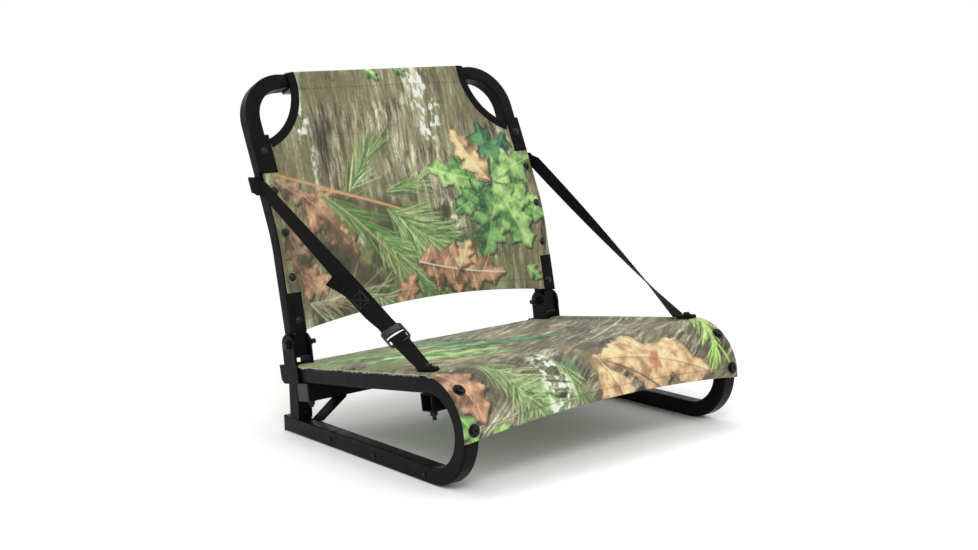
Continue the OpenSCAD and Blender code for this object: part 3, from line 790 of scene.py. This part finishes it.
def back_offset(x, s):
    """y of the fabric's middle surface: in front of the tubes, fuller at its riveted edges."""
    edge = np.abs(x)
    hem = -1.5 * smooth((edge - 246) / 7) * smooth((UP + 172 - s) / 8)
    bowl = 3.0 * (1 - np.minimum(edge / IN_X, 1) ** 2) * smooth((TOP_S - 30 - s) / 140)
    ripple = 1.6 * (fractal(x / 46, s / 120, 211, 3) - 0.5) * smooth((IN_X - edge) / 40) \
        * smooth((TOP_S - 30 - s) / 40)
    scallop = 0.7 * np.cos(2 * np.pi * (s - 36) / 69.5) \
        * smooth((edge - 200) / 40) * smooth((258 - edge) / 14)
    return -BACK_OFF + hem + bowl + ripple + scallop


def back_cloth():
    cols = np.linspace(-1, 1, int(2 * OUT_X / CELL))
    low = np.linspace(0, 1, 36)[:-1]
    rows = back_rows()
    x_low = np.repeat(OUT_X * cols[None, :], len(low), 0)
    s_low = hem_start(x_low) + (rows[0] - hem_start(x_low)) * low[:, None]
    x_high = half_width(rows)[:, None] * cols[None, :]
    s_high = np.repeat(rows[:, None], len(cols), 1)
    x, s = np.concatenate([x_low, x_high]), np.concatenate([s_low, s_high])
    y = back_offset(x, s)
    path = np.array(sleeve_path())
    x = np.concatenate([x, np.repeat(half_width(rows[-1:]) * cols[None, :], len(path), 0)])
    place_s = np.concatenate([s, np.repeat(path[:, 1:], len(cols), 1)])
    y = np.concatenate([y, np.repeat(path[:, :1], len(cols), 1)])
    run = np.cumsum(np.concatenate([[2], np.hypot(*np.diff(path, axis=0).T)]))
    cloth_s = np.concatenate([s, np.repeat(TOP_S + run[:, None], len(cols), 1)])
    points = np.array([[(a, *back(b, c)) for a, b, c in zip(*r)] for r in zip(x, place_s, y)])
    keep = np.ones((x.shape[0] - 1, x.shape[1] - 1), bool)
    return cloth_grid("back_cloth", points, keep, x, cloth_s, back_print(x, cloth_s))


back_sheet = place(back_cloth(), "backrest", "camo_cloth", "back_sling")


# -------- stitches and frayed edge
def stitches(name, line, pitch, thick, body, normal, mat=BLACK_THREAD):
    """Short raised stitches along a line of points, each half sunk in the cloth."""
    line = np.array(line, float)
    run = lengths(line)
    points, faces = [], []
    normal = np.array(normal, float)
    for k in range(int(run[-1] / pitch)):
        ends = [at_length(line, run, pitch * (k + f)) for f in (0.12, 0.5, 0.88)]
        d = ends[2] - ends[0]
        d /= np.linalg.norm(d)
        side = np.cross(d, normal)
        side /= np.linalg.norm(side)
        up = np.cross(side, d)
        base = len(points)
        for centre, r in zip(ends, (0.35, 1.0, 0.35)):
            points += [centre + thick * r * (math.cos(a) * side + math.sin(a) * up)
                       for a in np.radians([0, 60, 120, 180, 240, 300])]
        for i in (0, 6):
            faces += [(base + i + j, base + i + (j + 1) % 6, base + i + 6 + (j + 1) % 6, base + i + 6 + j)
                      for j in range(6)]
        faces += [tuple(base + j for j in range(5, -1, -1)), tuple(base + 12 + j for j in range(6))]
    piece = make_piece(name, points, outward(points, faces), mat)
    return place(piece, body, "webbing") if body else piece


def seat_line(inset_front=None, x=None):
    """A line on the seat's top surface: round the front hem, or back along one side."""
    if inset_front is not None:
        xs = np.linspace(-OUT_X + 4, OUT_X - 4, 120)
        vs = seat_front(xs) + inset_front
    else:
        vs = np.linspace(float(seat_front(x)) + 4, 326, 120)
        xs = np.full(120, x)
    offs = seat_height(xs, vs) + CLOTH / 2
    return [seat_point(a, b, c) for a, b, c in zip(xs, vs, offs)]


def back_line(kind):
    """A line on the back's front surface: the lower hem, a side, or under the sleeve."""
    if kind == "hem":
        xs = np.linspace(-OUT_X + 5, OUT_X - 5, 120)
        ss = hem_start(xs) + 16
    elif kind == "sleeve":
        xs, ss = np.linspace(-180, 180, 80), np.full(80, TOP_S - TUBE - 4)
    else:
        ss = np.linspace(UP - 120, UP + 104, 90)
        xs = np.full(90, kind)
    ys = back_offset(xs, ss) - CLOTH / 2
    return [(a, *back(b, c)) for a, b, c in zip(xs, ss, ys)]


PITCH, HEAVY, FINE = 3.4, 0.5, 0.45  # stitch length and the two thread radii
SEAT_SEAM_X, BACK_SEAM_X = 249.0, 250.0
SEAT_UP, BACK_OUT = (0, -0.4, 1), (0, -1, 0.3)
seat_seams = [stitches("seat_hem_stitches", seat_line(inset_front=14), PITCH, HEAVY,
                       "seat_frame", (0, -1, 0.15))]
seat_seams += [stitches(f"seat_side_stitches_{label}", seat_line(x=side * SEAT_SEAM_X), PITCH, FINE,
                        "seat_frame", SEAT_UP) for label, side in SIDES]
back_seams = [stitches("back_hem_stitches", back_line("hem"), PITCH, HEAVY, "backrest", BACK_OUT),
              stitches("sleeve_stitches", back_line("sleeve"), PITCH, FINE, "backrest", BACK_OUT)]
back_seams += [stitches(f"back_side_stitches_{label}", back_line(side * BACK_SEAM_X), PITCH, FINE,
                        "backrest", BACK_OUT) for label, side in SIDES]


YARN_FACES = ((0, 1, 4, 3), (1, 2, 5, 4), (2, 0, 3, 5), (2, 1, 0), (3, 4, 5))


def frayed_edge(side):
    """Loose pale yarn ends along the seat's cut edge over one rail."""
    rng = np.random.RandomState(31 if side < 0 else 32)
    points, faces, uv = [], [], []
    for v in np.arange(-20, 326, 1.15):
        drop, lean, thick = rng.uniform(1.2, 4.2), rng.uniform(-1.8, 1.8), rng.uniform(0.3, 0.6)
        if fractal(np.array([v / 21.0]), np.array([side * 3.0]), 44, 2)[0] < 0.42:
            drop *= 0.4
        root = np.array(seat_point(side * (OUT_X + 2.0), v, 1.8))
        tip = np.array(seat_point(side * (OUT_X + 3.3 + rng.uniform(0, 1.2)), v + lean, 1.8 - drop))
        ahead = np.array([0, thick, 0])
        out = np.array([side * thick * 0.8, 0, 0.0])
        base = len(points)
        points += [end + k * step for end, k in ((root, 1), (tip, 0.4)) for step in (-ahead, ahead, out)]
        faces += [tuple(base + i for i in f) for f in YARN_FACES]
        uv += [(0, v)] * 6
    yarns = make_piece(f"frayed_edge_{hand(side)}", points, outward(points, faces), PALE_THREAD, uv)
    return place(yarns, "seat_frame", "camo_cloth")


frays = [frayed_edge(-1), frayed_edge(1)]


# -------- back trim
BINDING_R = 108.5  # radius of the tape's middle line


def binding(side):
    """Folded black tape round one corner hand hole."""
    stations = []
    for a in np.radians(np.linspace(-70, 9, 44)):
        s = UP + CUT_Z + BINDING_R * math.sin(a)
        x = side * (CUT_X - BINDING_R * math.cos(a))
        radial = np.array([-side * math.cos(a), 0, 0]) + up_axis(UP + CUT_Z) * math.sin(a)
        stations.append(((x, *back(s, -(FACE + 1.7))), radial, back_axis(s)))
    return sweep(f"binding_{hand(side)}", stations, rounded_section(14.5, 4.6, 1.6), WEBBING)


def patch(name, side, s0, s1, x_in):
    """Webbing patch over the fabric's end, turned round the upright's outer side."""
    profile = [(x_in, -17.4), (264, -17.6), (274, -17.5), (278.4, -16.8), (280.2, -15), (280.4, -9)]
    stations = []
    for k in range(13):
        s = s0 + (s1 - s0) * k / 12
        stations.append(((0, *back(s, 0)), (side, 0, 0), back_axis(s)))
    outline = [(x, y) for x, y in profile] + [(x - dx, y + dy) for (x, y), (dx, dy) in
               zip(reversed(profile), ((1.9, 0), (1.9, 0.3), (1.4, 1.2), (0.5, 1.9), (0, 1.9), (0, 1.9)))]
    return sweep(name, stations, np.array(outline), WEBBING)


trim = []
for label, side in SIDES:
    trim += [binding(side), patch(f"upper_patch_{label}", side, UP + 105, UP + 169, 250),
             patch(f"lower_patch_{label}", side, 17, 81, 254)]
for piece in trim:
    place(piece, "backrest", "webbing")
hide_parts("corner_bindings")
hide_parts("back_patches")


def strap_loop(side):
    """Webbing ring sewn round an upright, standing off on the outside where the strap joins."""
    w = TUBE / 2 + 0.95
    ring = [(-w, 0), (-w, w - 2), (-w + 2, w), (0, w), (w - 2, w + 0.3), (w + 1.5, w - 2), (w + 3.4, 4),
            (w + 3.6, -3), (w + 1.6, -w + 3), (w - 2, -w), (0, -w), (-w + 2, -w), (-w, -w + 2)]
    ring = np.array(ring + ring[:1], float)
    run = lengths(ring)
    stations = []
    axis = up_axis(UP + LOOP_Z)
    y_axis = np.array(back_axis(UP + LOOP_Z))
    for k in range(72):
        d = run[-1] * k / 72
        q = at_length(ring, run, d)
        chord = at_length(ring, run, (d + 1.5) % run[-1]) - at_length(ring, run, (d - 1.5) % run[-1])
        t = chord / np.linalg.norm(chord)
        normal = t[1] * np.array([side, 0, 0]) - t[0] * y_axis
        centre = np.array([side * (SIDE_X + q[0]), *back(UP + LOOP_Z, q[1])])
        stations.append((centre, axis, normal))
    name = f"loop_{hand(side)}"
    piece = sweep(name, stations, rounded_section(WEB_W, 1.5, 0.6, 2), WEBBING, closed=True)
    place(piece, "backrest", "webbing", "strap_" + name)


strap_loop(-1)
strap_loop(1)


# -------- check straps
RUN = TOP - HEEL
RUN_L = float(np.linalg.norm(RUN))
RUN_D = RUN / RUN_L
FLAT_N = -np.cross([1, 0, 0], RUN_D)
LOCK_TWIST = 32  # degrees of twist at the ladder lock
LOWER_END, UPPER_START, UPPER_END = LOCK_F - 0.003, LOCK_F + 0.026, 0.985  # shares of the run
TAIL_START, TAIL_END = LOCK_F + 0.036, 0.475


def turn_at(f):
    """The webbing's twist, flat at the heel and edge-up at the top."""
    if f < LOCK_F:
        return math.radians(LOCK_TWIST * f / LOCK_F)
    above = min((f - LOCK_F) / (1 - LOCK_F), 1)
    return math.radians(LOCK_TWIST + (90 - LOCK_TWIST) * math.sin(math.pi / 2 * above))


def strap_axes(f):
    w = np.array([1.0, 0, 0]) * math.cos(turn_at(f)) - FLAT_N * math.sin(turn_at(f))
    w /= np.linalg.norm(w)
    n = np.cross(RUN_D, w)
    return w, n / np.linalg.norm(n)


def wrap_stations():
    """The strap's sewn end: past the top of its run, round the upright's outer side and behind it."""
    path = [(-288.6, -11, 84), (-291.2, -3, 91), (-290.6, 7, 95),
            (-286.5, 14.4, 97), (-279, 17.2, 98), (-266, 16.8, 98)]
    points = [np.array([x, *back(UP + z, y)]) for x, y, z in path]
    up = up_axis(UP + 99)
    out = []
    for k, c in enumerate(points):
        d = points[min(k + 1, len(points) - 1)] - points[max(k - 1, 0)]
        d /= np.linalg.norm(d)
        w = -(up - d * float(up @ d))
        w /= np.linalg.norm(w)
        out.append((c, -w, np.cross(d, -w)))
    return out


def strap_piece(name, side, f0, f1, lift=lambda f: 0.0, slide=lambda f: 0.0, wrap=False):
    """Webbing along the run from f0 to f1, lifted off it by lift(f) and slid to its side by slide(f)."""
    stations = []
    count = max(10, int((f1 - f0) * RUN_L / 5))
    for k in range(count + 1):
        f = f0 + (f1 - f0) * k / count
        w, n = strap_axes(f)
        stations.append((HEEL + RUN * f - n * lift(f) + w * slide(f), w, n))
    if wrap:
        stations += wrap_stations()
    flip = np.array([-side, 1, 1])
    stations = [(c * flip, w * flip, n * flip) for c, w, n in stations]
    return sweep(name, stations, rounded_section(WEB_W, WEB_TH, 0.8, 2), WEBBING)


def strap_tab(side):
    """Webbing end folded back on itself under the anchor bolt, with a pointed front."""
    path = [(17, 6.2), (8, 6.0), (-6, 6.0), (-11.5, 6.1), (-12.6, 7.3),
            (-11.2, 8.4), (-4, 8.5), (8, 8.5), (19.5, 8.9)]
    half = [12.5, 12.7, 12.0, 5.5, 4.5, 5.5, 12.0, 12.7, 12.7]
    stations = []
    for k, ((t, o), h) in enumerate(zip(path, half)):
        c = np.array([side * SIDE_X, *rail(t, BEND_R + o)])
        a, b = path[max(k - 1, 0)], path[min(k + 1, len(path) - 1)]
        d = np.array([b[0] - a[0], b[1] - a[1]], float)
        d /= np.linalg.norm(d)
        y, z = rail(-d[1], d[0])
        y0, z0 = rail(0, 0)
        stations.append((c, np.array([h / 12.7, 0, 0]), np.array([0, y - y0, z - z0])))
    name = f"tab_{hand(side)}"
    piece = sweep(name, stations, rounded_section(WEB_W, 1.9, 0.8, 2), WEBBING)
    place(piece, "seat_frame", "webbing", "strap_" + name)


def hand_over(piece):
    """Bakes the strap piece's placement into its mesh."""
    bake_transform(piece)


def rise(f, start, over):
    """0 before start, rising smoothly to 1 over the next stretch of the run."""
    return float(smooth((f - start) / over))


strap_tab(-1)
strap_tab(1)
lower = strap_piece("strap_lower_right", -1, 0.0, LOWER_END,
                    lift=lambda f: 3.4 * rise(f, LOCK_F - 0.05, 0.03))
place(lower, "strap_link", "webbing", "strap_right_lower")
upper = strap_piece("strap_upper_right", -1, UPPER_START, UPPER_END, wrap=True)
tail = strap_piece("strap_tail_right", -1, TAIL_START, TAIL_END,
                   lift=lambda f: 2.3 + 19 * rise(f, 0.385, 0.11),
                   slide=lambda f: -3.5 * rise(f, 0.2, 0.1) - 6 * rise(f, 0.39, 0.1))
left_strap = strap_piece("strap_left_run", 1, 0.0, UPPER_END, wrap=True)
hand_over(upper)
hand_over(tail)
hand_over(left_strap)
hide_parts("strap_right_upper")
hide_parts("strap_left")


def lock_point(a, b, c):
    """Point in the ladder lock's frame: a across, b up the strap, c out of the strap's outer face."""
    w, n = strap_axes(LOCK_F)
    return HEEL + RUN * LOCK_F + w * a + RUN_D * b - n * c


def ladder_lock():
    """Moulded frame with three bars; the top bar is fat and bowed up."""
    w, n = strap_axes(LOCK_F)
    rim = []
    for a, b in rounded_section(WEB_W + 6.4, 29.5, 4.0, 5):
        d = np.array([a / (WEB_W + 6.4), b / 29.5])
        radial = w * np.sign(d[0]) if abs(d[0]) > abs(d[1]) else RUN_D * np.sign(d[1])
        rim.append((lock_point(a, b, 1.2 if b > 6 else 0), radial, -n))
    pieces = [sweep("lock_rim", rim, rounded_section(3.0, 5.0, 1.2, 3), ACETAL, closed=True)]
    bars = (("lock_top_bar", 9.6, 12.5, 5.4, 2.8), ("lock_mid_bar", -1.8, 3.4, 3.2, 0.3),
            ("lock_low_bar", -12.4, 4.0, 3.4, 0.4))
    for name, b, deep, high, bow in bars:
        stations = []
        for k in range(13):
            a = (k / 12 - 0.5) * (WEB_W + 5)
            lift = bow * math.cos(math.pi * (k / 12 - 0.5))
            stations.append((lock_point(a, b, lift), RUN_D, -n))
        pieces.append(sweep(name, stations, rounded_section(deep, high, 0.45 * high, 4), ACETAL))
    for piece in pieces:
        place(piece, "strap_link", "black_plastic")
    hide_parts("ladder_lock")


ladder_lock()


def box_stitch():
    """Box and cross stitched through the doubled strap above the lock."""
    f0, f1, line = 0.325, 0.38, []
    corners = [(f0, -9), (f1, -9), (f1, 9), (f0, 9), (f0, -9), (f1, 9), (f0, 9), (f1, -9)]
    for (fa, wa), (fb, wb) in zip(corners, corners[1:]):
        for k in range(8):
            f, a = fa + (fb - fa) * k / 8, wa + (wb - wa) * k / 8
            w, n = strap_axes(f)
            line.append(HEEL + RUN * f + w * (a - 3.5) - n * 3.4)
    hand_over(stitches("box_stitch", line, 2.4, 0.55, None, -strap_axes(0.35)[1]))


box_stitch()


# -------- floor and light
FLOOR_R, FADE_FROM, FADE_TO = 3.0, 0.45, 1.5  # metres from the middle of the floor


def floor():
    """Pale floor that fades out into the white surroundings."""
    mesh = bpy.data.meshes.new("floor")
    r, n = FLOOR_R, 64
    mesh.from_pydata([(r * math.cos(2 * math.pi * k / n), r * math.sin(2 * math.pi * k / n), -0.0004)
                      for k in range(n)], [], [tuple(range(n))])
    m, tree, p = material("floor", (0.94, 0.94, 0.94), 0.85)
    away = tree.nodes.new("ShaderNodeVectorMath")
    away.operation = "LENGTH"
    link(tree, tree.nodes.new("ShaderNodeNewGeometry").outputs["Position"], away.inputs[0])
    fade = tree.nodes.new("ShaderNodeMapRange")
    fade.interpolation_type = "SMOOTHSTEP"
    fade.inputs["From Min"].default_value = FADE_FROM
    fade.inputs["From Max"].default_value = FADE_TO
    link(tree, away.outputs["Value"], fade.inputs["Value"])
    mix = tree.nodes.new("ShaderNodeMixShader")
    link(tree, fade.outputs["Result"], mix.inputs[0])
    link(tree, p.outputs[0], mix.inputs[1])
    link(tree, tree.nodes.new("ShaderNodeBsdfTransparent").outputs[0], mix.inputs[2])
    link(tree, mix.outputs[0], next(n for n in tree.nodes if n.type == "OUTPUT_MATERIAL").inputs[0])
    mesh.materials.append(m)
    obj = bpy.data.objects.new("floor", mesh)
    bpy.context.scene.collection.objects.link(obj)


def area_light(name, place_at, size, power):
    data = bpy.data.lights.new(name, "AREA")
    data.size, data.energy, data.shape = size, power, "DISK"
    lamp = bpy.data.objects.new(name, data)
    bpy.context.scene.collection.objects.link(lamp)
    lamp.location = place_at
    lamp.rotation_mode = "QUATERNION"
    lamp.rotation_quaternion = (Vector((0, 0, 0.25)) - Vector(place_at)).to_track_quat("-Z", "Y")


def studio():
    world = bpy.data.worlds.new("studio")
    world.use_nodes = True
    world.node_tree.nodes["Background"].inputs[0].default_value = (1, 1, 1, 1)
    world.node_tree.nodes["Background"].inputs[1].default_value = 1.0
    bpy.context.scene.world = world
    bpy.context.scene.view_settings.view_transform = "Standard"
    area_light("key", (-1.6, -2.2, 2.6), 1.2, 34)
    area_light("fill", (2.4, -1.6, 1.6), 1.6, 8)
    area_light("top", (0.2, 0.6, 3.0), 1.4, 14)


floor()
studio()
